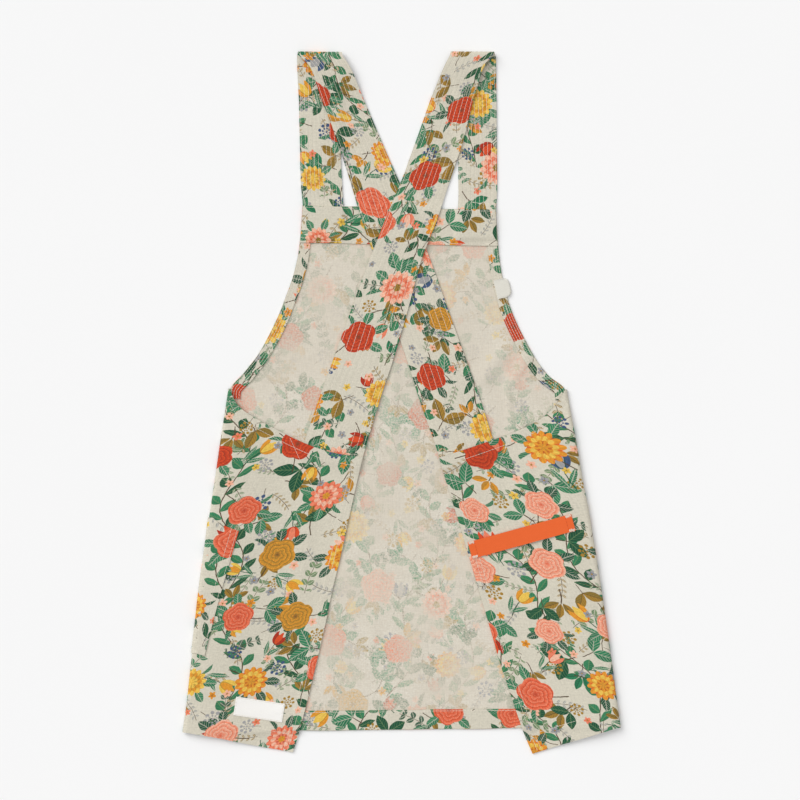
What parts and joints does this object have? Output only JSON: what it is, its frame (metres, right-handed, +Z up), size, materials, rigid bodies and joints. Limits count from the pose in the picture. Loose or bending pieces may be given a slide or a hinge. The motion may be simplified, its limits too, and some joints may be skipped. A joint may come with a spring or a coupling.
{
  "type": "cross-back smock apron",
  "caption": "Cross-back smock apron in floral canvas, laid flat on its front with both sides folded over to the back and quilted straps crossed on top.",
  "frame": {"origin": "under the middle of the smock's outline, on the surface that it lies on", "axes": "+Y from the hem towards the shoulders, +Z up from the surface, +X to the right as seen from above"},
  "size_m": [0.5908, 0.948, 0.0125],
  "materials": {
    "floral_canvas": "matte woven cotton canvas, cream ground with a dense multicolour flower print, paler on the inside",
    "orange_tape": "matte orange woven tape",
    "white_ribbon": "off-white woven ribbon, blank"
  },
  "bodies": {
    "root": {"front_panel": "floral_canvas", "side_fold_left": "floral_canvas", "side_fold_right": "floral_canvas", "flap_left": "floral_canvas", "flap_right": "floral_canvas", "bib_facing": "floral_canvas", "armhole_binding_left": "floral_canvas", "armhole_binding_right": "floral_canvas", "bottom_hem": "floral_canvas", "strap_left": "floral_canvas", "strap_right": "floral_canvas", "side_pocket": "floral_canvas", "towel_loop": "orange_tape", "label": "white_ribbon", "side_tab": "white_ribbon"}
  },
  "joints": []
}
